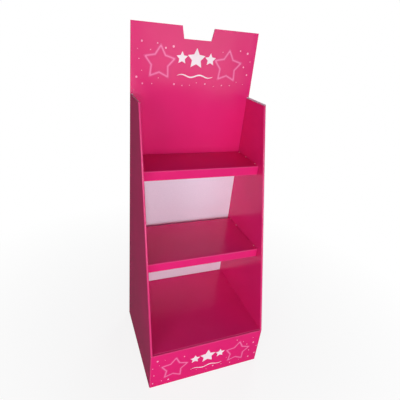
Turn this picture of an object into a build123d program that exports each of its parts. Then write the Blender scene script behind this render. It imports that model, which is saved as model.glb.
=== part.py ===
from build123d import *
import os
from math import atan2, cos, sin, tan

# Cardboard floor display stand, die cut and folded from single wall corrugated board.
# The body wrap stands on the floor: back, plinth front, and two sides that rake back above the
# plinth, each with a lining folded in from its front edge. Two shelves hang by tabs in slots of
# the linings, a base tray with crossed ribs fills the plinth and makes the lowest shelf, and a
# header card drops in behind the top shelf.
# The origin is the middle of the footprint on the floor. The front faces -Y, and +Z is up.
# All lengths are millimetres.

# Body
width = 450.0
depth = 400.0
side_height = 988.0
top_depth = 135.0
plinth_height = 168.0

# Board, its folds, and the clearances between sheets
board = 3.0
fold_inside = 0.4
ply_gap = 1.5
cut_gap = 0.5
seat_gap = 0.2

# Plinth hem and the body's glued corner
hem_depth = 60.0
hem_gap = 0.4
glue_flap_width = 35.0
glue_flap_taper = 12.0
glue_flap_end = 6.0

# Linings of the sides: cut lower than the outer panels, and locked into the back by tabs
lining_top_drop = 4.0
lock_tab_height = 40.0
lock_tab_play = 0.2
lock_tab_count = 3

# Hung shelves
top_bay_height = 214.0
shelf_setback = 32.0
shelf_side_gap = 1.0
middle_shelf_rear_gap = 20.0
flange_height = 30.0
corner_relief = 2.0
lip_height = 35.0
lip_return = 24.0
lip_upstand = 28.0

# Shelf tabs and the lining slots that carry them
tab_width = 36.0
tab_inset = 22.0
tab_side_play = 0.5

# Ribs under the base tray
rib_end_gap = 0.5
rib_play = 0.2

# Header card
header_height = 217.0
header_tuck = 60.0
tongue_corner_cut = 12.0
notch_top_width = 113.0
notch_bottom_width = 97.0
notch_depth = 38.0

# Sizes that follow from the ones above
front_y = -depth / 2
back_y = depth / 2
fold_outside = fold_inside + board
wall = 2 * board + ply_gap
wall_radius = wall / 2
bay_half = width / 2 - wall
hem_wall = 2 * board + hem_gap
rake = atan2(depth - top_depth, side_height - plinth_height)
lining_bottom = plinth_height + cut_gap
lining_top = side_height - lining_top_drop
back_face_y = back_y - board
top_shelf_z = side_height - top_bay_height
middle_shelf_z = (plinth_height + top_shelf_z) / 2
header_back_y = back_face_y - seat_gap
header_front_y = header_back_y - board
header_top = side_height + header_height
middle_shelf_rear_y = back_face_y - middle_shelf_rear_gap
top_shelf_rear_y = header_front_y - cut_gap
shelf_half = bay_half - shelf_side_gap
tab_reach = shelf_side_gap + board + ply_gap - seat_gap
tray_half = width / 2 - board - cut_gap
tray_front_y = front_y + hem_wall + seat_gap
tray_rear_y = back_face_y - cut_gap


def slab(x0, x1, y0, y1, z0, z1):
    """A box between two corners."""
    size = Box(x1 - x0, y1 - y0, z1 - z0, align=(Align.MIN, Align.MIN, Align.MIN))
    return Pos(x0, y0, z0) * size


def side_panel(outline, x0, x1):
    """A flat panel parallel to the sides, with its outline in Y and Z, from x0 to x1."""
    plane = Plane(origin=(x0, 0, 0), x_dir=(0, 1, 0), z_dir=(1, 0, 0))
    return extrude(plane * make_face(Polyline(*outline, close=True)), x1 - x0)


def front_panel(outline, y0, y1):
    """A flat panel parallel to the front, with its outline in X and Z, from y0 to y1."""
    plane = Plane(origin=(0, y1, 0), x_dir=(1, 0, 0), z_dir=(0, -1, 0))
    return extrude(plane * make_face(Polyline(*outline, close=True)), y1 - y0)


def folded_strip(plane, path, length):
    """A strip of board folded along path, which is its inner face, and run on for length.

    Every fold of the path turns to the right, so the board lies on its left.
    """
    inner = FilletPolyline(*path, radius=fold_inside)
    section = make_face(offset(inner, amount=board, side=Side.LEFT, closed=True))
    return extrude(plane * section, length)


def half_ring(radius, turn):
    """The section of a double wall's fold, on the side that turn, in degrees, brings it to."""
    ring = Circle(radius) - Circle(radius - board)
    return Rot(0, 0, turn) * (ring & Pos(0, radius) * Rectangle(4 * radius, 2 * radius))


def front_edge_y(z):
    """Y of the raked front edge of a side at the height z."""
    return front_y + (z - plinth_height) * tan(rake)


def fold_axis_y(z):
    """Y, at the height z, of the axis that the raked front fold of a side turns about."""
    return front_edge_y(z) + wall_radius / cos(rake)


def shelf_front_y(z):
    """Y of the front face of a shelf whose top is at the height z."""
    return front_edge_y(z) + shelf_setback


def tab_spans(shelf_z, rear_y):
    """The start and end, in Y, of the front and the rear tab of a hung shelf."""
    front_start = shelf_front_y(shelf_z) + fold_outside + corner_relief + tab_inset
    rear_end = rear_y - fold_outside - corner_relief - tab_inset
    return [(front_start, front_start + tab_width), (rear_end - tab_width, rear_end)]


def lock_tab_spans():
    """The start and end, in Z, of each tab that locks a lining into the back."""
    pitch = (lining_top - lining_bottom) / lock_tab_count
    middles = [lining_bottom + pitch * (number + 0.5) for number in range(lock_tab_count)]
    return [(z - lock_tab_height / 2, z + lock_tab_height / 2) for z in middles]


def body_tube():
    """Back, sides and plinth front: a folded tube, cut away in front to the raked edges."""
    outer = RectangleRounded(width, depth, fold_outside)
    inner = RectangleRounded(width - 2 * board, depth - 2 * board, fold_inside)
    in_front_of_rake = [
        (front_y - board, plinth_height),
        (fold_axis_y(plinth_height), plinth_height),
        (fold_axis_y(side_height), side_height),
        (front_y - board, side_height),
    ]
    return extrude(outer - inner, side_height) - side_panel(in_front_of_rake, -width, width)


def raked_fold(side):
    """The round front edge of a side, where the outer panel turns back into the lining."""
    start_z = plinth_height - wall
    plane = Plane(
        origin=(side * (width / 2 - wall_radius), fold_axis_y(start_z), start_z),
        x_dir=(1, 0, 0),
        z_dir=(0, sin(rake), cos(rake)),
    )
    fold = extrude(plane * half_ring(wall_radius, 180), (side_height + wall - start_z) / cos(rake))
    fold &= slab(-width, width, -depth, depth, lining_bottom, side_height)
    x0, x1 = sorted((side * bay_half, side * (width / 2 - wall_radius)))
    return fold - slab(x0, x1, -depth, depth, lining_top, side_height)


def lining(side):
    """The inner panel of a side, with a slot for each tab of the hung shelves.

    Its rear edge has tabs that reach through the back panel.
    """
    rear_y = back_face_y - cut_gap
    outline = [
        (fold_axis_y(lining_bottom), lining_bottom),
        (rear_y, lining_bottom),
        (rear_y, lining_top),
        (fold_axis_y(lining_top), lining_top),
    ]
    x0, x1 = sorted((side * bay_half, side * (bay_half + board)))
    panel = side_panel(outline, x0, x1)
    for low, high in lock_tab_spans():
        panel += slab(x0, x1, rear_y, back_y, low, high)
    for shelf_z, shelf_rear_y in [
        (middle_shelf_z, middle_shelf_rear_y),
        (top_shelf_z, top_shelf_rear_y),
    ]:
        low = shelf_z - board - seat_gap
        high = shelf_z + seat_gap
        for start, end in tab_spans(shelf_z, shelf_rear_y):
            panel -= slab(x0, x1, start - tab_side_play, end + tab_side_play, low, high)
    return panel


def plinth_hem(half):
    """The plinth's top edge, folded over and down inside as a flap with slanting ends.

    The ends slant by twice the rake: in the flat sheet that is how much room the lining, which
    folds out from the raked edge beside the hem, leaves it.
    """
    radius = hem_wall / 2
    axis_z = plinth_height - radius
    plane = Plane(origin=(-half, front_y + radius, axis_z), x_dir=(0, 1, 0), z_dir=(1, 0, 0))
    taper = hem_depth / tan(2 * rake)
    flap = [
        (-half, axis_z),
        (half, axis_z),
        (half - taper, plinth_height - hem_depth),
        (taper - half, plinth_height - hem_depth),
    ]
    fold = extrude(plane * half_ring(radius, 0), 2 * half)
    return fold + front_panel(flap, front_y + hem_wall - board, front_y + hem_wall)


def glue_flap():
    """The flap that closes the wrap, glued inside the right side below the hem's fold."""
    start = front_y + board
    end = start + glue_flap_width
    low = glue_flap_end
    high = plinth_height - hem_wall - glue_flap_end
    outline = [
        (start, low),
        (end, low + glue_flap_taper),
        (end, high - glue_flap_taper),
        (start, high),
    ]
    return side_panel(outline, width / 2 - 2 * board, width / 2 - board)


def make_body_wrap():
    hem_half = width / 2 - fold_outside
    edge_z = plinth_height - hem_wall / 2
    body = body_tube()
    body -= slab(-hem_half, hem_half, front_y, front_y + board, edge_z, plinth_height)
    body += plinth_hem(hem_half) + glue_flap()
    slot_inside = bay_half - lock_tab_play
    slot_outside = bay_half + board + lock_tab_play
    for low, high in lock_tab_spans():
        slot = slab(slot_inside, slot_outside, back_face_y, back_y, low - lock_tab_play,
                    high + lock_tab_play)
        body -= slot + mirror(slot, about=Plane.YZ)
    for side in (-1, 1):
        body += raked_fold(side) + lining(side)
    return body


def make_header_card():
    """A flat card: shoulders on the sides' top edges, a tongue down behind the top shelf."""
    tongue_half = bay_half - cut_gap
    tongue_bottom = top_shelf_z - header_tuck
    shoulder_z = side_height + seat_gap
    right_half = [
        (tongue_half - tongue_corner_cut, tongue_bottom),
        (tongue_half, tongue_bottom + tongue_corner_cut),
        (tongue_half, shoulder_z),
        (width / 2, shoulder_z),
        (width / 2, header_top),
        (notch_top_width / 2, header_top),
        (notch_bottom_width / 2, header_top - notch_depth),
    ]
    left_half = [(-x, z) for x, z in reversed(right_half)]
    return front_panel(right_half + left_half, header_front_y, header_back_y)


def folded_tray(half, y0, y1, top_z, front_path, drop, front_half, side_start):
    """A panel on folded edges: a front lip, and rear and side flanges that go down by drop.

    front_path is the inner face of the front lip, as pairs of distance back from the tray's
    front face and height from the panel's top. The lip reaches out to front_half on each side,
    and the side flanges start at side_start in Y.
    """
    inside_run = 2 * fold_outside
    side_end = y1 - fold_outside - corner_relief
    side_edge = half - board
    rear_edge = y1 - board
    front_plane = Plane(origin=(front_half, y0, top_z), x_dir=(0, -1, 0), z_dir=(-1, 0, 0))
    rear_plane = Plane(origin=(-half, 0, top_z), x_dir=(0, 1, 0), z_dir=(1, 0, 0))
    side_plane = Plane(origin=(0, side_end, top_z), x_dir=(1, 0, 0), z_dir=(0, -1, 0))

    lip = [(inside_run, -board)] + front_path
    rear = [(rear_edge - inside_run, -board), (rear_edge, -board), (rear_edge, -drop)]
    side = [(side_edge - inside_run, -board), (side_edge, -board), (side_edge, -drop)]
    right_flange = folded_strip(side_plane, side, side_end - side_start)
    return (
        slab(fold_outside - half, half - fold_outside, y0 + fold_outside, y1 - fold_outside,
             top_z - board, top_z)
        + folded_strip(front_plane, [(-back, z) for back, z in lip], 2 * front_half)
        + folded_strip(rear_plane, rear, 2 * half)
        + right_flange
        + mirror(right_flange, about=Plane.YZ)
    )


def make_shelf(top_z, rear_y):
    """A hung shelf: a boxed front lip, three flanges, and tabs cut out of the side flanges."""
    lip_bottom = board - lip_height
    boxed_lip = [
        (board, -board),
        (board, lip_bottom),
        (lip_return - board, lip_bottom),
        (lip_return - board, lip_bottom + lip_upstand - board),
    ]
    front = shelf_front_y(top_z)
    flange_start = front + fold_outside + corner_relief
    shelf = folded_tray(shelf_half, front, rear_y, top_z, boxed_lip, flange_height, shelf_half,
                        flange_start)
    fold_x = shelf_half - fold_outside
    tab_end_x = shelf_half + tab_reach
    for start, end in tab_spans(top_z, rear_y):
        window = slab(fold_x, shelf_half, start, end, top_z - board - tab_reach, top_z)
        tab = slab(fold_x, tab_end_x, start, end, top_z - board, top_z)
        shelf -= window + mirror(window, about=Plane.YZ)
        shelf += tab + mirror(tab, about=Plane.YZ)
    return shelf


def make_base_tray():
    """The lowest shelf: a panel level with the plinth, on four skirts that reach the floor.

    It runs under the feet of the linings. Its skirts leave room for the body's glue flap.
    """
    skirt = [(board, -board), (board, -plinth_height)]
    front_half = width / 2 - 2 * board - cut_gap
    skirt_start = front_y + board + glue_flap_width + corner_relief
    return folded_tray(tray_half, tray_front_y, tray_rear_y, plinth_height, skirt, plinth_height,
                       front_half, skirt_start)


def make_rib(half_length, slot_from_top):
    """One of the two ribs under the base tray, along X, halved where the other crosses it."""
    rib_height = plinth_height - board - seat_gap
    slot_half = board / 2 + rib_play
    middle = rib_height / 2
    low, high = (middle - rib_play, rib_height) if slot_from_top else (0, middle + rib_play)
    rib = slab(-half_length, half_length, -board / 2, board / 2, 0, rib_height)
    return rib - slab(-slot_half, slot_half, -board, board, low, high)


def make_ribs():
    """The rib across the stand, and the rib from its front to its back."""
    across_half = tray_half - board - rib_end_gap
    along_half = (tray_rear_y - tray_front_y) / 2 - board - rib_end_gap
    middle = Pos(0, (tray_front_y + tray_rear_y) / 2, 0)
    across = middle * make_rib(across_half, slot_from_top=True)
    along = middle * Rot(0, 0, 90) * make_rib(along_half, slot_from_top=False)
    return across, along


rib_across, rib_along = make_ribs()
nodes = {
    "body_wrap": make_body_wrap(),
    "header_card": make_header_card(),
    "top_shelf": make_shelf(top_shelf_z, top_shelf_rear_y),
    "middle_shelf": make_shelf(middle_shelf_z, middle_shelf_rear_y),
    "base_tray": make_base_tray(),
    "base_rib_across": rib_across,
    "base_rib_along": rib_along,
}

os.makedirs("parts", exist_ok=True)
for name, shape in nodes.items():
    export_step(shape, f"parts/{name}.step")
    print(name, "solids", len(shape.solids()), "volume", round(shape.volume))
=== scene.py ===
import bmesh
import bpy
from math import cos, pi, radians, sin
from mathutils import Matrix, Vector


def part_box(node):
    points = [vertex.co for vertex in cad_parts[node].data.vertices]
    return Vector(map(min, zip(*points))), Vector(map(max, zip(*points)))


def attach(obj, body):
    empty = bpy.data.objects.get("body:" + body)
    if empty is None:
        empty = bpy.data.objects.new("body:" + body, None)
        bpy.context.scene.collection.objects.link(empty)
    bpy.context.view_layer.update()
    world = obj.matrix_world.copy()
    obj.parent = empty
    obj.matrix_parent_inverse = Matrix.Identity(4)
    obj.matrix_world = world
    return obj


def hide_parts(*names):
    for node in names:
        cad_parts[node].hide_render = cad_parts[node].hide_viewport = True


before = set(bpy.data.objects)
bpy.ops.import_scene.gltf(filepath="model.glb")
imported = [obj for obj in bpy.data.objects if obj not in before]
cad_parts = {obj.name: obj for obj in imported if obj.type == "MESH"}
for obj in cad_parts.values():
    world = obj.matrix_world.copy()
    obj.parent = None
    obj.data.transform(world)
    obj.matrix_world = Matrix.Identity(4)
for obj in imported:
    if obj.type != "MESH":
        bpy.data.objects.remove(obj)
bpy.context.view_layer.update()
MM = 0.001


# Camera
# The photograph's view: from the left of the stand, level with the top of its header, looking
# down and turned slightly, with a wide lens. The numbers come from fitting the stand's corners:
# angles in radians, and the focal length and the lens shift in picture widths.
CAMERA_PLACE = Vector((-448.1, -977.9, 1199.6)) * MM
CAMERA_YAW = 0.4090
CAMERA_PITCH = 0.4787
CAMERA_ROLL = 0.1063
FOCAL_LENGTH = 0.8478
CENTRE_RIGHT = -0.0074
CENTRE_DOWN = 0.0145

looking = Vector((
    sin(CAMERA_YAW) * cos(CAMERA_PITCH),
    cos(CAMERA_YAW) * cos(CAMERA_PITCH),
    -sin(CAMERA_PITCH),
))
level_right = Vector((cos(CAMERA_YAW), -sin(CAMERA_YAW), 0))
level_up = level_right.cross(looking)
camera_right = cos(CAMERA_ROLL) * level_right + sin(CAMERA_ROLL) * level_up
camera_up = cos(CAMERA_ROLL) * level_up - sin(CAMERA_ROLL) * level_right

camera = bpy.data.objects.new("camera", bpy.data.cameras.new("camera"))
bpy.context.scene.collection.objects.link(camera)
camera.data.lens = FOCAL_LENGTH * camera.data.sensor_width
camera.data.shift_x = -CENTRE_RIGHT
camera.data.shift_y = CENTRE_DOWN
camera.matrix_world = Matrix((
    (camera_right.x, camera_up.x, -looking.x, CAMERA_PLACE.x),
    (camera_right.y, camera_up.y, -looking.y, CAMERA_PLACE.y),
    (camera_right.z, camera_up.z, -looking.z, CAMERA_PLACE.z),
    (0, 0, 0, 1),
))
bpy.context.scene.camera = camera


# Body wrap
# One sheet of single wall board, 3 mm thick, printed and laminated outside and plain white
# inside, die cut and folded: back, plinth front, and sides whose raked front edges turn over
# into linings. Its flutes stand upright.


def paint(code):
    """The linear colour of an sRGB hex code."""
    shares = [int(code[i:i + 2], 16) / 255 for i in (1, 3, 5)]
    return tuple(s / 12.92 if s <= 0.04045 else ((s + 0.055) / 1.055) ** 2.4 for s in shares) + (1,)


def add(tree, kind, inputs=None, **settings):
    """Adds a node with its settings and links.

    An input is a constant, a socket, a node, whose first output is then taken, or a list where
    it joins several. A Mix node of colours takes them at 6 and 7 and gives one at output 2.
    """
    node = tree.nodes.new(kind)
    for name, value in settings.items():
        setattr(node, name, value)
    for name, value in (inputs or {}).items():
        for source in value if isinstance(value, list) else [value]:
            if isinstance(source, bpy.types.Node):
                source = source.outputs[0]
            if isinstance(source, bpy.types.NodeSocket):
                tree.links.new(source, node.inputs[name])
            else:
                node.inputs[name].default_value = source
    return node


def new_material(name):
    """A material and its empty tree."""
    material = bpy.data.materials.new(name)
    material.use_nodes = True
    material.node_tree.nodes.clear()
    return material, material.node_tree


# The corrugation is B flute, 6.5 mm from crest to crest. It shows twice: as a wave of paper at
# the cut edges, and as ridges of 0.02 mm up and down where it presses through the print.
FLUTE_PITCH = 6.5 * MM
FLUTE_RIDGE = 0.02 * MM


def flute_phase(tree, across):
    """The phase of the flutes' wave, in radians, for flutes that cross the two named axes."""
    place = add(tree, "ShaderNodeTexCoord").outputs["Object"]
    axes = add(tree, "ShaderNodeSeparateXYZ", {"Vector": place})
    along = add(
        tree, "ShaderNodeMath", {0: axes.outputs[across[0]], 1: axes.outputs[across[1]]},
        operation="ADD",
    )
    phase = add(
        tree, "ShaderNodeMath", {0: along, 1: 2 * pi / FLUTE_PITCH}, operation="MULTIPLY"
    )
    return place, phase


# Litho laminate is offset printed paper under a gloss film. The eye gets a flat, even colour that
# drifts a little over the sheet, a clear sheen that the slack in the panels bends, and paler pink
# along the folds, partly ink that the fold has stretched and partly a painted highlight of the
# fold.
PRINT_PINK = "#e92579"
PRINT_PINK_DEEP = "#e02170"
CREASE_PINK_AND_HIGHLIGHT = "#f07aa8"
CREASE_AND_HIGHLIGHT_SHARE = 0.17
INK_DRIFT = 111 * MM
SLACK_SPAN = 200 * MM
SLACK_DEPTH = 4 * MM
FILM_ROUGHNESS = 0.16
FILM_IOR = 1.38


def litho_laminate(name, across, low_ink=PRINT_PINK_DEEP, high_ink=PRINT_PINK):
    """Printed and laminated liner over flutes that cross the two named axes."""
    material, tree = new_material(name)
    place, phase = flute_phase(tree, across)
    drift = add(
        tree, "ShaderNodeTexNoise", {"Vector": place, "Scale": 1 / INK_DRIFT, "Detail": 3.0}
    )
    ink = add(
        tree, "ShaderNodeMix", {"Factor": drift, 6: paint(low_ink), 7: paint(high_ink)},
        data_type="RGBA",
    )
    # Along the folds the ink is mixed toward a paler pink: partly stretched ink, partly a painted
    # highlight
    crease = add(tree, "ShaderNodeAttribute", attribute_name="crease").outputs["Fac"]
    crease_and_highlight_share = add(tree, "ShaderNodeMath", {0: crease, 1: CREASE_AND_HIGHLIGHT_SHARE}, operation="MULTIPLY")
    creased_and_highlighted = add(
        tree, "ShaderNodeMix",
        {"Factor": crease_and_highlight_share, 6: ink.outputs[2], 7: paint(CREASE_PINK_AND_HIGHLIGHT)},
        data_type="RGBA",
    )
    ridge = add(tree, "ShaderNodeMath", {0: phase}, operation="SINE")
    ridged = add(
        tree, "ShaderNodeBump", {"Height": ridge, "Distance": FLUTE_RIDGE, "Strength": 1.0}
    )
    slack = add(
        tree, "ShaderNodeTexNoise", {"Vector": place, "Scale": 1 / SLACK_SPAN, "Detail": 1.0}
    )
    surface = add(
        tree, "ShaderNodeBump",
        {"Height": slack, "Distance": SLACK_DEPTH, "Strength": 1.0, "Normal": ridged},
    )
    film = add(
        tree, "ShaderNodeBsdfPrincipled",
        {"Base Color": creased_and_highlighted.outputs[2], "Roughness": FILM_ROUGHNESS, "IOR": FILM_IOR,
         "Normal": surface},
    )
    add(tree, "ShaderNodeOutputMaterial", {"Surface": film})
    return material


# Bleached kraft liner is uncoated paper. The eye gets a matt white, slightly cloudy where the
# fibres lie in bunches a few millimetres wide, and tinted lilac all over, the lilac being a painted
# cast of cool room light.
LINER_WHITE_LILAC_LIT = "#f0e4f4"
LINER_GREY_LILAC_LIT = "#e4d8ea"
LINER_ROUGHNESS = 0.85
PAPER_IOR = 1.45
FIBRE_CLOUD = 4.55 * MM
FIBRE_RELIEF = 0.03 * MM
FIBRE_STRENGTH = 0.6


def bleached_kraft_liner():
    """Plain inner liner."""
    material, tree = new_material("bleached_kraft_liner")
    place = add(tree, "ShaderNodeTexCoord").outputs["Object"]
    clouds = add(
        tree, "ShaderNodeTexNoise", {"Vector": place, "Scale": 1 / FIBRE_CLOUD, "Detail": 4.0}
    )
    # Both tones carry a lilac tint that is a painted cast of cool light
    colour = add(
        tree, "ShaderNodeMix", {"Factor": clouds, 6: paint(LINER_GREY_LILAC_LIT), 7: paint(LINER_WHITE_LILAC_LIT)},
        data_type="RGBA",
    )
    fibres = add(
        tree, "ShaderNodeBump",
        {"Height": clouds, "Distance": FIBRE_RELIEF, "Strength": FIBRE_STRENGTH},
    )
    paper = add(
        tree, "ShaderNodeBsdfPrincipled",
        {"Base Color": colour.outputs[2], "Roughness": LINER_ROUGHNESS, "IOR": PAPER_IOR,
         "Normal": fibres},
    )
    add(tree, "ShaderNodeOutputMaterial", {"Surface": paper})
    return material


# A die cut edge shows the board's plies, matt and pale: two liners with the fluting paper's wave
# between them. The hollows beside the wave are painted darker as shade. All the papers are tinted
# pink and kept very light as painted light: pink bounced from the print, and light from above. The
# papers are really about 0.2 mm thick, too fine to show, so the liners are drawn 0.3 mm and the
# fluting up to 0.7 mm thick. Shares are of the board's thickness.
EDGE_LINER_PINK_LIT = "#fbe0ea"
FLUTE_PAPER_PINK_LIT = "#fbd5e2"
FLUTE_HOLLOW_SHADE = "#eba9c2"
EDGE_ROUGHNESS = 0.9
BOARD_MIDDLE = 0.5
LINER_SHARE = 0.1
FLUTE_SWING = 0.36
FLUTE_HALF_PAPER = 0.11


def die_cut_edge(name, across):
    """Cut edge of board whose flutes cross the two named axes."""
    material, tree = new_material(name)
    phase = flute_phase(tree, across)[1]
    ply = add(tree, "ShaderNodeAttribute", attribute_name="ply").outputs["Fac"]
    wave = add(tree, "ShaderNodeMath", {0: phase}, operation="SINE")
    flute = add(
        tree, "ShaderNodeMath", {0: wave, 1: FLUTE_SWING, 2: BOARD_MIDDLE},
        operation="MULTIPLY_ADD",
    )
    off_flute = add(tree, "ShaderNodeMath", {0: ply, 1: flute}, operation="SUBTRACT")
    off_flute = add(tree, "ShaderNodeMath", {0: off_flute}, operation="ABSOLUTE")
    in_flute = add(
        tree, "ShaderNodeMath", {0: off_flute, 1: FLUTE_HALF_PAPER}, operation="LESS_THAN"
    )
    off_middle = add(tree, "ShaderNodeMath", {0: ply, 1: BOARD_MIDDLE}, operation="SUBTRACT")
    off_middle = add(tree, "ShaderNodeMath", {0: off_middle}, operation="ABSOLUTE")
    in_liner = add(
        tree, "ShaderNodeMath", {0: off_middle, 1: BOARD_MIDDLE - LINER_SHARE},
        operation="GREATER_THAN",
    )
    # The hollows take a darker painted shade, and the paper a pink that is painted light
    medium = add(
        tree, "ShaderNodeMix",
        {"Factor": in_flute, 6: paint(FLUTE_HOLLOW_SHADE), 7: paint(FLUTE_PAPER_PINK_LIT)},
        data_type="RGBA",
    )
    colour = add(
        tree, "ShaderNodeMix", {"Factor": in_liner, 6: medium.outputs[2], 7: paint(EDGE_LINER_PINK_LIT)},
        data_type="RGBA",
    )
    paper = add(
        tree, "ShaderNodeBsdfPrincipled",
        {"Base Color": colour.outputs[2], "Roughness": EDGE_ROUGHNESS, "IOR": PAPER_IOR},
    )
    add(tree, "ShaderNodeOutputMaterial", {"Surface": paper})
    return material


# A sheet's faces run on over its folds, which turn in small steps, and stop at its cut edges,
# which are narrow strips one board thick
FOLD_TURN = radians(40)
STRIP_WIDTH = 4 * MM
FOLD_FACET_WIDTH = 2.5 * MM
MERGE_WITHIN = 0.01 * MM
FLAT_WITHIN = radians(0.5)
FACING_COSINE = 0.99
PRINTED = 0
PLAIN = 1
CUT = 2


def face_groups(sheet):
    """Faces of a sheet that run on over folds without a cut edge between them."""
    groups = []
    seen = set()
    for start in sheet.faces:
        if start in seen:
            continue
        seen.add(start)
        group = [start]
        for face in group:
            for edge in face.edges:
                if edge.calc_face_angle(pi) > FOLD_TURN:
                    continue
                for other in edge.link_faces:
                    if other not in seen:
                        seen.add(other)
                        group.append(other)
        groups.append(group)
    return groups


def mean_width(group):
    """Area of a group of faces over half the length of its rim."""
    inside = set(group)
    area = sum(face.calc_area() for face in group)
    rim = sum(
        edge.calc_length()
        for face in group
        for edge in face.edges
        if any(other not in inside for other in edge.link_faces)
    )
    return area / (rim / 2)


def facet_width(face):
    """Area of a face over its longest edge."""
    return face.calc_area() / max(edge.calc_length() for edge in face.edges)


def soften_folds(mesh):
    """Rounds the shading over the folds, and keeps panels flat and cut edges sharp."""
    crease = mesh.attributes["crease"].data
    at_vertex = {}
    for polygon in mesh.polygons:
        folded = crease[polygon.loop_start].value > 0.5
        for index in polygon.vertices:
            key = (index, polygon.material_index)
            at_vertex.setdefault(key, []).append((folded, polygon.normal.copy()))
    normals = []
    for polygon in mesh.polygons:
        folded = crease[polygon.loop_start].value > 0.5
        for index in polygon.vertices:
            if not folded:
                normals.append(polygon.normal.copy())
                continue
            near = [
                (other_folded, normal)
                for other_folded, normal in at_vertex[index, polygon.material_index]
                if normal.angle(polygon.normal) < FOLD_TURN
            ]
            flat = [normal for other_folded, normal in near if not other_folded]
            total = Vector((0, 0, 0))
            for normal in flat or [normal for _, normal in near]:
                total += normal
            normals.append(total.normalized())
    mesh.normals_split_custom_set(normals)


def board_piece(node, printed_way, materials):
    """Dresses a CAD sheet: its printed face, its plain face and its cut edges told apart.

    printed_way points out of a printed panel, the furthest that way, or is None on plain board.
    materials are those of the print, the plain liner and the cut edge, in this order.
    """
    sheet = bmesh.new()
    sheet.from_mesh(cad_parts[node].data)
    bmesh.ops.remove_doubles(sheet, verts=sheet.verts, dist=MERGE_WITHIN)
    bmesh.ops.dissolve_limit(
        sheet, angle_limit=FLAT_WITHIN, verts=sheet.verts, edges=sheet.edges
    )

    groups = face_groups(sheet)
    liners = [group for group in groups if mean_width(group) > STRIP_WIDTH]
    for face in sheet.faces:
        face.material_index = CUT
    for group in liners:
        for face in group:
            face.material_index = PLAIN
    if printed_way:
        way = Vector(printed_way)
        facing = [
            (face.calc_center_median().dot(way), number)
            for number, group in enumerate(liners)
            for face in group
            if face.normal.dot(way) > FACING_COSINE
        ]
        for face in liners[max(facing)[1]]:
            face.material_index = PRINTED

    # crease marks the narrow facets of the folds, where the print is paled with stretched ink and a
    # painted highlight, and ply runs across a cut edge from 0 at the plain face to 1 at the printed
    # one
    crease = sheet.loops.layers.float.new("crease")
    ply = sheet.verts.layers.float.new("ply")
    for vert in sheet.verts:
        on_print = any(face.material_index == PRINTED for face in vert.link_faces)
        vert[ply] = 1.0 if on_print else 0.0
    for face in sheet.faces:
        folded = face.material_index != CUT and facet_width(face) < FOLD_FACET_WIDTH
        for loop in face.loops:
            loop[crease] = 1.0 if folded else 0.0
    sheet.normal_update()

    name = node + "_board"
    mesh = bpy.data.meshes.new(name)
    sheet.to_mesh(mesh)
    sheet.free()
    for material in materials:
        mesh.materials.append(material)
    mesh.shade_smooth()
    soften_folds(mesh)
    piece = bpy.data.objects.new(name, mesh)
    bpy.context.scene.collection.objects.link(piece)
    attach(piece, "root")
    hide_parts(node)
    return piece


upright_print = litho_laminate("litho_laminate_upright_flutes", ("X", "Y"))
upright_edge = die_cut_edge("cut_edge_upright_flutes", ("X", "Y"))
liner = bleached_kraft_liner()
upright_board = (upright_print, liner, upright_edge)
body = board_piece("body_wrap", printed_way=(0, -1, 0), materials=upright_board)


# Base ribs
# Two strips of plain white board, halved into each other under the base tray. They carry its
# middle down to the floor.
for node in ("base_rib_across", "base_rib_along"):
    rib = board_piece(node, printed_way=None, materials=upright_board)


# Base tray and hung shelves
# Three sheets of the same printed board, folded down all round. The hung shelves have a boxed
# front lip and sit with tabs in the linings' slots. Their flutes run from front to back.
shelf_print = litho_laminate("litho_laminate_shelf_flutes", ("X", "Z"))
shelf_edge = die_cut_edge("cut_edge_shelf_flutes", ("X", "Z"))
shelf_board = (shelf_print, liner, shelf_edge)
for node in ("base_tray", "middle_shelf", "top_shelf"):
    shelf = board_piece(node, printed_way=(0, 0, 1), materials=shelf_board)


# Header card
# A flat card of the same board, printed in front, with a notch cut in its top edge. Its tongue
# drops between the linings behind the top shelf, and its shoulders stand on the sides.
header = board_piece("header_card", printed_way=(0, -1, 0), materials=upright_board)


# Printed stars, dots and mark
# Part of the same offset print, on the header card and on the plinth: a light pink outline star
# each side with dots scattered round it, and a plain mark of three white stars over a waved
# line. Each ink lies as a thin plate on the board, and the same gloss film covers it.
INK_LINE = "#f97eb5"
INK_LINE_DEEP = "#f273ac"
INK_GLOW = "#e84a8b"
INK_GLOW_DEEP = "#e24384"
INK_DOT = "#ffb6d6"
INK_DOT_DEEP = "#fba9cd"
INK_WHITE = "#fdf0f6"
INK_WHITE_DEEP = "#f7e4ee"

# Real ink is a few thousandths of a millimetre thick. The plates are thicker, as much as they
# need to stay clear of the board, and their backs are sunk into it.
INK_PROUD = 0.15 * MM
GLOW_PROUD = 0.1 * MM
INK_SUNK = 0.1 * MM

STAR_POINTS = 5
STAR_NOTCH_SHARE = 0.56
STAR_INSIDE_SHARE = 0.75
STAR_CORNER_STEPS = 3
DOTS_TRIED_PER_SQUARE_METRE = 90000.0
DOT_CORNERS = 10
DOT_SIZE_POWER = 1.6
MARK_NOTCH_SHARE = 0.5
MARK_SIDE_SHARE = 0.62
SWASH_WAVES = 2
SWASH_TAPER_SHARE = 0.98
SWASH_COLUMNS = 41


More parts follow.
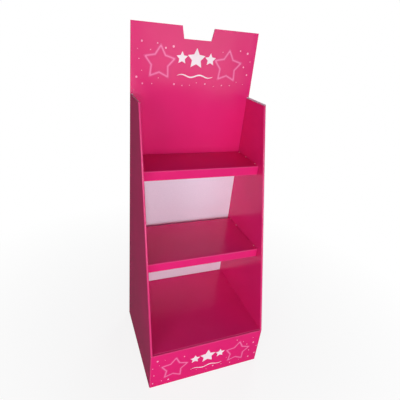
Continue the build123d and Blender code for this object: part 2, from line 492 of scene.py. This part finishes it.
def outline_stars(tree, given):
    """Two outline stars and the glow under each, with the middles of the stars.

    An outline is the space between two like stars, one a line's width inside the other. The glow
    is wider by as much on both sides.
    """
    # How far an edge's line lies from the middle of a star with a radius of 1
    to_notch = pi / STAR_POINTS
    edge_length = (1 + STAR_NOTCH_SHARE ** 2 - 2 * STAR_NOTCH_SHARE * cos(to_notch)) ** 0.5
    edge_share = STAR_NOTCH_SHARE * sin(to_notch) / edge_length
    notch_radius = add(
        tree, "ShaderNodeMath", {0: given["Star radius"], 1: STAR_NOTCH_SHARE},
        operation="MULTIPLY",
    )
    sharp = add(
        tree, "GeometryNodeCurveStar",
        {"Points": STAR_POINTS, "Outer Radius": given["Star radius"],
         "Inner Radius": notch_radius},
    )
    rounded = add(
        tree, "GeometryNodeFilletCurve",
        {"Curve": sharp, "Count": STAR_CORNER_STEPS, "Radius": given["Corner radius"],
         "Limit Radius": True},
        mode="POLY",
    )
    edge_distance = add(
        tree, "ShaderNodeMath", {0: given["Star radius"], 1: edge_share}, operation="MULTIPLY"
    )

    ends = []
    for side in ("SUBTRACT", "ADD"):
        across = add(
            tree, "ShaderNodeMath", {0: given["Star offset"], 1: given["Star spread"]},
            operation=side,
        )
        ends.append(add(tree, "ShaderNodeCombineXYZ", {"X": across, "Y": given["Star rise"]}))
    middles = add(
        tree, "GeometryNodeMeshLine",
        {"Count": 2, "Start Location": ends[0], "Offset": ends[1]}, mode="END_POINTS",
    )
    turn = add(
        tree, "ShaderNodeMath", {0: pi / 2, 1: given["Star tilt"]}, operation="SUBTRACT"
    )
    upright = add(tree, "ShaderNodeCombineXYZ", {"Z": turn})

    line_in = add(
        tree, "ShaderNodeMath", {0: given["Line width"], 1: -1.0}, operation="MULTIPLY"
    )
    glow_in = add(
        tree, "ShaderNodeMath", {0: line_in, 1: given["Glow width"]}, operation="SUBTRACT"
    )
    drawn = []
    for distances in ((0.0, line_in), (given["Glow width"], glow_in)):
        rims = []
        for distance in distances:
            growth = add(
                tree, "ShaderNodeMath", {0: distance, 1: edge_distance}, operation="DIVIDE"
            )
            share = add(tree, "ShaderNodeMath", {0: 1.0, 1: growth}, operation="ADD")
            scale = add(tree, "ShaderNodeCombineXYZ", {"X": share, "Y": share, "Z": 1.0})
            rim = add(tree, "GeometryNodeTransform", {"Geometry": rounded, "Scale": scale})
            rims.append(rim)
        both = add(tree, "GeometryNodeJoinGeometry", {0: rims})
        outline = add(tree, "GeometryNodeFillCurve", {0: both}, mode="TRIANGLES")
        pair = add(
            tree, "GeometryNodeInstanceOnPoints",
            {"Points": middles, "Instance": outline, "Rotation": upright},
        )
        drawn.append(add(tree, "GeometryNodeRealizeInstances", {0: pair}))
    stars, glows = drawn
    return stars, glows, middles


def scattered_dots(tree, given, stars, star_middles):
    """Dots over the whole panel, most of them small, clear of the stars and of the mark."""
    field = add(
        tree, "GeometryNodeMeshGrid",
        {"Size X": given["Field width"], "Size Y": given["Field height"], "Vertices X": 2,
         "Vertices Y": 2},
    )
    scatter = add(
        tree, "GeometryNodeDistributePointsOnFaces",
        {"Mesh": field, "Distance Min": given["Dot gap"],
         "Density Max": DOTS_TRIED_PER_SQUARE_METRE, "Seed": given["Seed"]},
        distribute_method="POISSON",
    )

    to_line = add(tree, "GeometryNodeProximity", {0: stars}, target_element="FACES")
    near_line = add(
        tree, "ShaderNodeMath", {0: to_line.outputs["Distance"], 1: given["Dot clearance"]},
        operation="LESS_THAN",
    )
    to_middle = add(tree, "GeometryNodeProximity", {0: star_middles}, target_element="POINTS")
    inside = add(
        tree, "ShaderNodeMath", {0: given["Star radius"], 1: STAR_INSIDE_SHARE},
        operation="MULTIPLY",
    )
    in_star = add(
        tree, "ShaderNodeMath", {0: to_middle.outputs["Distance"], 1: inside},
        operation="LESS_THAN",
    )
    position = add(tree, "GeometryNodeInputPosition")
    place = add(tree, "ShaderNodeSeparateXYZ", {0: position})
    off_middle = add(tree, "ShaderNodeMath", {0: place.outputs["X"]}, operation="ABSOLUTE")
    beside = add(
        tree, "ShaderNodeMath", {0: off_middle, 1: given["Mark half width"]},
        operation="LESS_THAN",
    )
    above = add(
        tree, "ShaderNodeMath", {0: place.outputs["Y"], 1: given["Mark bottom"]},
        operation="GREATER_THAN",
    )
    in_mark = add(tree, "ShaderNodeMath", {0: beside, 1: above}, operation="MULTIPLY")
    taken = add(tree, "ShaderNodeMath", {0: near_line, 1: in_star}, operation="MAXIMUM")
    taken = add(tree, "ShaderNodeMath", {0: taken, 1: in_mark}, operation="MAXIMUM")
    free = add(
        tree, "GeometryNodeDeleteGeometry", {"Geometry": scatter, "Selection": taken},
        domain="POINT",
    )

    dot = add(
        tree, "GeometryNodeMeshCircle", {"Vertices": DOT_CORNERS, "Radius": 1.0},
        fill_type="NGON",
    )
    draw = add(
        tree, "FunctionNodeRandomValue", {2: 0.0, 3: 1.0, "Seed": given["Seed"]},
        data_type="FLOAT",
    )
    mostly_small = add(
        tree, "ShaderNodeMath", {0: draw.outputs[1], 1: DOT_SIZE_POWER}, operation="POWER"
    )
    size_range = add(
        tree, "ShaderNodeMath", {0: given["Largest dot"], 1: given["Smallest dot"]},
        operation="SUBTRACT",
    )
    radius = add(
        tree, "ShaderNodeMath", {0: mostly_small, 1: size_range, 2: given["Smallest dot"]},
        operation="MULTIPLY_ADD",
    )
    dots = add(
        tree, "GeometryNodeInstanceOnPoints", {"Points": free, "Instance": dot, "Scale": radius}
    )
    return add(tree, "GeometryNodeRealizeInstances", {0: dots})


def plain_mark(tree, given):
    """Three solid stars, the middle one larger, and the waved line under them that tapers."""
    notch_radius = add(
        tree, "ShaderNodeMath", {0: given["Mark star radius"], 1: MARK_NOTCH_SHARE},
        operation="MULTIPLY",
    )
    rim = add(
        tree, "GeometryNodeCurveStar",
        {"Points": STAR_POINTS, "Outer Radius": given["Mark star radius"],
         "Inner Radius": notch_radius},
    )
    solid = add(tree, "GeometryNodeFillCurve", {0: rim}, mode="TRIANGLES")
    leftwards = add(
        tree, "ShaderNodeMath", {0: given["Mark spread"], 1: -1.0}, operation="MULTIPLY"
    )
    left, right = (
        add(tree, "ShaderNodeCombineXYZ", {"X": across, "Y": given["Mark rise"]})
        for across in (leftwards, given["Mark spread"])
    )
    middles = add(
        tree, "GeometryNodeMeshLine", {"Count": 3, "Start Location": left, "Offset": right},
        mode="END_POINTS",
    )
    number = add(tree, "GeometryNodeInputIndex")
    from_middle = add(tree, "ShaderNodeMath", {0: number, 1: 1.0}, operation="SUBTRACT")
    from_middle = add(tree, "ShaderNodeMath", {0: from_middle}, operation="ABSOLUTE")
    less = add(
        tree, "ShaderNodeMath", {0: from_middle, 1: 1 - MARK_SIDE_SHARE}, operation="MULTIPLY"
    )
    size = add(tree, "ShaderNodeMath", {0: 1.0, 1: less}, operation="SUBTRACT")
    upright = add(tree, "ShaderNodeCombineXYZ", {"Z": pi / 2})
    trio = add(
        tree, "GeometryNodeInstanceOnPoints",
        {"Points": middles, "Instance": solid, "Rotation": upright, "Scale": size},
    )
    trio = add(tree, "GeometryNodeRealizeInstances", {0: trio})

    ribbon = add(
        tree, "GeometryNodeMeshGrid",
        {"Size X": given["Swash length"], "Size Y": given["Swash width"],
         "Vertices X": SWASH_COLUMNS, "Vertices Y": 2},
    )
    position = add(tree, "GeometryNodeInputPosition")
    place = add(tree, "ShaderNodeSeparateXYZ", {0: position})
    run = add(
        tree, "ShaderNodeMath", {0: place.outputs["X"], 1: given["Swash length"]},
        operation="DIVIDE",
    )
    wave = add(tree, "ShaderNodeMath", {0: run, 1: 2 * pi * SWASH_WAVES}, operation="MULTIPLY")
    wave = add(tree, "ShaderNodeMath", {0: wave}, operation="SINE")
    wave = add(
        tree, "ShaderNodeMath", {0: wave, 1: given["Swash swing"], 2: given["Swash rise"]},
        operation="MULTIPLY_ADD",
    )
    taper = add(
        tree, "ShaderNodeMath", {0: run, 1: pi * SWASH_TAPER_SHARE}, operation="MULTIPLY"
    )
    for step in ("COSINE", "ABSOLUTE", "SQRT"):
        taper = add(tree, "ShaderNodeMath", {0: taper}, operation=step)
    height = add(
        tree, "ShaderNodeMath", {0: place.outputs["Y"], 1: taper, 2: wave},
        operation="MULTIPLY_ADD",
    )
    waved = add(tree, "ShaderNodeCombineXYZ", {"X": place.outputs["X"], "Y": height})
    swash = add(tree, "GeometryNodeSetPosition", {"Geometry": ribbon, "Position": waved})
    return trio, swash


def star_print(line_ink, glow_ink, dot_ink, white_ink):
    """The tree that prints a panel, drawn flat round its middle, then stood up on the panel."""
    tree = bpy.data.node_groups.new("star_print", "GeometryNodeTree")
    lengths = (
        "Field width", "Field height", "Field middle", "Panel front",
        "Ink thickness", "Glow thickness", "Glow width",
        "Star radius", "Star spread", "Star offset", "Star rise", "Star tilt",
        "Line width", "Corner radius",
        "Smallest dot", "Largest dot", "Dot gap", "Dot clearance",
        "Mark star radius", "Mark spread", "Mark rise", "Mark half width", "Mark bottom",
        "Swash length", "Swash width", "Swash swing", "Swash rise",
    )
    for name in lengths:
        tree.interface.new_socket(name, in_out="INPUT", socket_type="NodeSocketFloat")
    tree.interface.new_socket("Seed", in_out="INPUT", socket_type="NodeSocketInt")
    tree.interface.new_socket("Geometry", in_out="OUTPUT", socket_type="NodeSocketGeometry")
    given = add(tree, "NodeGroupInput").outputs

    stars, glows, star_middles = outline_stars(tree, given)
    dots = scattered_dots(tree, given, stars, star_middles)
    trio, swash = plain_mark(tree, given)

    # Each ink gets its thickness, stands up on the front of the panel and gets its material
    out_of_board = add(tree, "ShaderNodeCombineXYZ", {"Z": 1.0})
    panel = add(
        tree, "ShaderNodeCombineXYZ", {"Y": given["Panel front"], "Z": given["Field middle"]}
    )
    plates = []
    for parts, ink, thickness in (
        ([stars], line_ink, "Ink thickness"),
        ([glows], glow_ink, "Glow thickness"),
        ([dots], dot_ink, "Ink thickness"),
        ([trio, swash], white_ink, "Ink thickness"),
    ):
        flat = add(tree, "GeometryNodeJoinGeometry", {0: parts})
        raised = add(
            tree, "GeometryNodeExtrudeMesh",
            {"Mesh": flat, "Offset": out_of_board, "Offset Scale": given[thickness],
             "Individual": False},
            mode="FACES",
        )
        under = add(tree, "GeometryNodeFlipFaces", {"Mesh": flat})
        closed = add(tree, "GeometryNodeJoinGeometry", {0: [raised, under]})
        closed = add(
            tree, "GeometryNodeMergeByDistance", {"Geometry": closed, "Distance": MERGE_WITHIN}
        )
        stood_up = add(
            tree, "GeometryNodeTransform",
            {"Geometry": closed, "Rotation": (pi / 2, 0, 0), "Translation": panel},
        )
        plate = add(tree, "GeometryNodeSetMaterial", {"Geometry": stood_up, "Material": ink})
        plates.append(plate)
    printed = add(tree, "GeometryNodeJoinGeometry", {0: plates})
    add(tree, "NodeGroupOutput", {0: printed})
    return tree


def print_panel(name, tree, sizes):
    """Runs the print's tree with its sizes and keeps the result as a plain mesh."""
    printed = bpy.data.objects.new(name, bpy.data.meshes.new(name))
    bpy.context.scene.collection.objects.link(printed)
    printing = printed.modifiers.new("print", "NODES")
    printing.node_group = tree
    for item in tree.interface.items_tree:
        if item.in_out == "INPUT":
            printing[item.identifier] = sizes[item.name]
    graph = bpy.context.evaluated_depsgraph_get()
    mesh = bpy.data.meshes.new_from_object(printed.evaluated_get(graph))
    printed.modifiers.remove(printing)
    printed.data = mesh
    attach(printed, "root")


print_tree = star_print(
    litho_laminate("litho_laminate_line_ink", ("X", "Y"), INK_LINE_DEEP, INK_LINE),
    litho_laminate("litho_laminate_glow_ink", ("X", "Y"), INK_GLOW_DEEP, INK_GLOW),
    litho_laminate("litho_laminate_dot_ink", ("X", "Y"), INK_DOT_DEEP, INK_DOT),
    litho_laminate("litho_laminate_white_ink", ("X", "Y"), INK_WHITE_DEEP, INK_WHITE),
)
header_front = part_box("header_card")[0][1]
plinth_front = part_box("body_wrap")[0][1]
shared_sizes = {
    "Ink thickness": INK_PROUD + INK_SUNK,
    "Glow thickness": GLOW_PROUD + INK_SUNK,
    "Star radius": 56.5 * MM,
    "Line width": 3.8 * MM,
    "Glow width": 2.6 * MM,
    "Corner radius": 3 * MM,
    "Smallest dot": 1.2 * MM,
    "Largest dot": 3.9 * MM,
    "Dot gap": 26 * MM,
    "Dot clearance": 8 * MM,
    "Mark star radius": 33.5 * MM,
    "Mark spread": 51.5 * MM,
    "Mark half width": 82 * MM,
    "Swash length": 132 * MM,
    "Swash width": 4.5 * MM,
    "Swash swing": 4 * MM,
}
print_panel("header_print", print_tree, {
    **shared_sizes,
    "Panel front": header_front + INK_SUNK,
    "Field width": 416 * MM,
    "Field height": 132 * MM,
    "Field middle": 1086 * MM,
    "Star spread": 124 * MM,
    "Star offset": -4 * MM,
    "Star rise": 4 * MM,
    "Star tilt": radians(2),
    "Mark rise": 23 * MM,
    "Mark bottom": -50 * MM,
    "Swash rise": -33 * MM,
    "Seed": 4,
})
print_panel("plinth_print", print_tree, {
    **shared_sizes,
    "Panel front": plinth_front + INK_SUNK,
    "Field width": 434 * MM,
    "Field height": 126 * MM,
    "Field middle": 84 * MM,
    "Star spread": 131 * MM,
    "Star offset": -2.5 * MM,
    "Star rise": -5 * MM,
    "Star tilt": radians(6),
    "Mark rise": 14 * MM,
    "Mark bottom": -50 * MM,
    "Swash rise": -40 * MM,
    "Seed": 7,
})


# Room
# A plain white floor and a white room, which gives a weak cool fill. The main soft lamp stands
# low in front, with one to the left and a weak one to the right, and a fourth stands behind on
# the right for the faces that the photograph doesn't show. Sizes are in metres.
ROOM_WHITE = "#ffffff"
FLOOR_WHITE = "#e7e7e7"
FLOOR_ROUGHNESS = 0.9
FLOOR_HALF = 6.0
FILL_WHITE = "#faf6ff"
FILL_STRENGTH = 0.115
MIRRORED_STRENGTH = 0.07
LAMP_DISTANCE = 3.0
STAND_MIDDLE = Vector((0, 0, 0.55))

# The camera sees the lit floor under a veil of white, so the stand's shadow shows softly near
# its foot and fades out further away
SHADOW_SHOWS_WITHIN = 0.3
SHADOW_GONE_BEYOND = 1.3
WHITENED_NEAR = 0.86
WHITENED_FAR = 1.0


def white_to_camera(tree, glow_kind, lit, whitened):
    """Shows the camera a share of white over what is lit, and mirrored rays a dim white."""
    path = add(tree, "ShaderNodeLightPath").outputs
    white = add(tree, glow_kind, {"Color": paint(ROOM_WHITE), "Strength": 1.0})
    dim_white = add(tree, glow_kind, {"Color": paint(ROOM_WHITE), "Strength": MIRRORED_STRENGTH})
    seen = add(
        tree, "ShaderNodeMath", {0: path["Is Camera Ray"], 1: whitened}, operation="MULTIPLY"
    )
    mirrored = add(
        tree, "ShaderNodeMath", {0: path["Is Glossy Ray"], 1: path["Is Transmission Ray"]},
        operation="ADD",
    )
    straight = add(tree, "ShaderNodeMixShader", {0: seen, 1: lit, 2: white})
    return add(tree, "ShaderNodeMixShader", {0: mirrored, 1: straight, 2: dim_white})


corners = ((-1, -1), (1, -1), (1, 1), (-1, 1))
floor_mesh = bpy.data.meshes.new("floor")
floor_mesh.from_pydata(
    [(x * FLOOR_HALF, y * FLOOR_HALF, 0) for x, y in corners], [], [(0, 1, 2, 3)]
)
floor = bpy.data.objects.new("floor", floor_mesh)
bpy.context.scene.collection.objects.link(floor)
white_floor, tree = new_material("white_floor")
matt = add(
    tree, "ShaderNodeBsdfPrincipled",
    {"Base Color": paint(FLOOR_WHITE), "Roughness": FLOOR_ROUGHNESS},
)
place = add(tree, "ShaderNodeTexCoord").outputs["Object"]
away = add(tree, "ShaderNodeVectorMath", {0: place}, operation="LENGTH").outputs["Value"]
whitened = add(
    tree, "ShaderNodeMapRange",
    {"Value": away, "From Min": SHADOW_SHOWS_WITHIN, "From Max": SHADOW_GONE_BEYOND,
     "To Min": WHITENED_NEAR, "To Max": WHITENED_FAR},
)
surface = white_to_camera(tree, "ShaderNodeEmission", matt, whitened)
add(tree, "ShaderNodeOutputMaterial", {"Surface": surface})
floor_mesh.materials.append(white_floor)


def soft_lamp(name, azimuth, elevation, size, power):
    """A soft lamp of the given width and height that looks at the middle of the stand."""
    way = Vector((
        sin(radians(azimuth)) * cos(radians(elevation)),
        -cos(radians(azimuth)) * cos(radians(elevation)),
        sin(radians(elevation)),
    ))
    data = bpy.data.lights.new(name, "AREA")
    data.shape = "RECTANGLE"
    data.size, data.size_y = size
    data.energy = power
    lamp = bpy.data.objects.new(name, data)
    lamp.location = STAND_MIDDLE + way * LAMP_DISTANCE
    lamp.rotation_euler = way.to_track_quat("Z", "Y").to_euler()
    bpy.context.scene.collection.objects.link(lamp)


soft_lamp("left_lamp", azimuth=-50, elevation=12, size=(1.2, 1.4), power=20.6)
soft_lamp("front_lamp", azimuth=-8, elevation=8, size=(1.2, 1.4), power=48)
soft_lamp("right_lamp", azimuth=22, elevation=10, size=(1.2, 1.0), power=9)
soft_lamp("back_lamp", azimuth=140, elevation=20, size=(1.2, 1.4), power=30)

room = bpy.data.worlds.new("room")
bpy.context.scene.world = room
room.use_nodes = True
tree = room.node_tree
tree.nodes.clear()
fill = add(
    tree, "ShaderNodeBackground", {"Color": paint(FILL_WHITE), "Strength": FILL_STRENGTH}
)
backdrop = white_to_camera(tree, "ShaderNodeBackground", fill, 1.0)
add(tree, "ShaderNodeOutputWorld", {"Surface": backdrop})

bpy.context.scene.view_settings.view_transform = "Standard"
